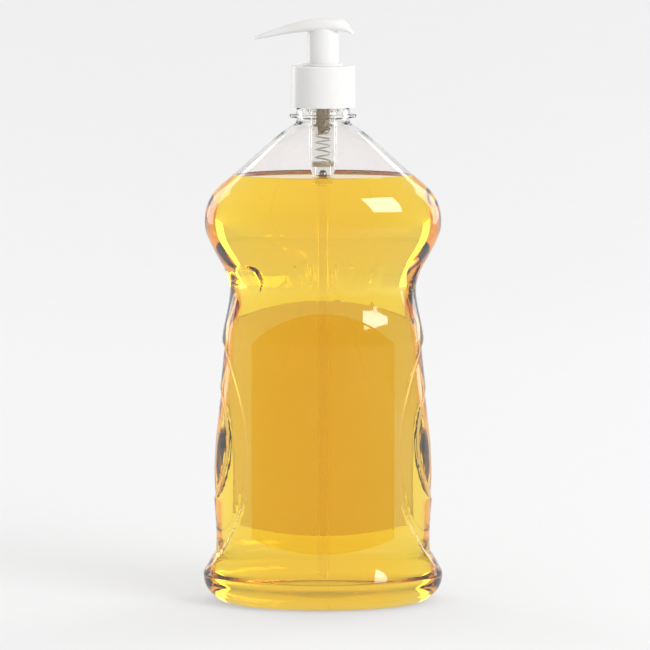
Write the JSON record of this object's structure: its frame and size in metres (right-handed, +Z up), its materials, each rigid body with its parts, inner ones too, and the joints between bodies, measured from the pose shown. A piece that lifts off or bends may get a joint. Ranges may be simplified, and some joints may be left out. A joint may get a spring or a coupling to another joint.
{
  "type": "dish soap bottle",
  "caption": "Clear oval dish soap bottle with a waist and sunk side panels, filled with yellow liquid, with a screw-on lotion pump",
  "frame": {"origin": "middle of the foot, on the surface that the bottle stands on", "axes": "+Z up along the pump, -Y towards the back label, -X along the nozzle"},
  "size_m": [0.1192, 0.0784, 0.2896],
  "materials": {
    "clear_pet": "clear blown plastic, glossy",
    "yellow_soap": "clear yellow liquid",
    "amber_film": "clear film, amber over the liquid",
    "white_film": "opaque label film, satin",
    "white_pp": "moulded, satin gloss",
    "foam_pe": "foamed liner, matt",
    "natural_pp": "natural translucent moulding",
    "cream_pp": "cream moulding",
    "natural_pe": "natural soft moulding",
    "spring_steel": "drawn stainless wire",
    "ball_steel": "ground stainless ball"
  },
  "bodies": {
    "bottle": {"bottle": "clear_pet", "liquid_soap": "yellow_soap", "back_label": "amber_film", "front_label": "white_film"},
    "pump_body": {"pump_housing": "natural_pp", "lock_ring": "white_pp", "ball_retainer": "cream_pp", "dip_tube": "natural_pe", "neck_gasket": "foam_pe"},
    "collar": {"screw_closure": "white_pp"},
    "spring": {"return_spring": "spring_steel"},
    "plunger": {"pump_stem": "cream_pp", "stem_plug": "cream_pp", "actuator_head": "white_pp"},
    "piston_sleeve": {"piston": "natural_pe"},
    "ball": {"inlet_ball": "ball_steel"}
  },
  "joints": [
    {"name": "pump_rise", "type": "slide", "parent": "bottle", "child": "pump_body", "axis": [0, 0, 1], "range_m": [0, 0.0064]},
    {"name": "closure_turn", "type": "hinge", "parent": "pump_body", "child": "collar", "pos_m": [0, 0, 0.2555], "axis": [0, 0, 1], "range_deg": [0, 540]},
    {"name": "head_turn", "type": "hinge", "parent": "pump_body", "child": "spring", "pos_m": [0, 0, 0.25], "axis": [0, 0, 1], "continuous": true},
    {"name": "pump_press", "type": "slide", "parent": "spring", "child": "plunger", "axis": [0, 0, 1], "range_m": [-0.012, 0], "stiffness_N_per_m": 1000, "springref_m": 0.006, "deforming": ["return_spring"]},
    {"name": "piston_play", "type": "slide", "parent": "plunger", "child": "piston_sleeve", "axis": [0, 0, 1], "range_m": [0, 0.0009]},
    {"name": "ball_lift", "type": "slide", "parent": "pump_body", "child": "ball", "axis": [0, 0, 1], "range_m": [0, 0.0011]}
  ],
  "couplings": [
    {"joint": "pump_rise", "follows": "closure_turn", "m_per_rad": 0.0006732}
  ]
}
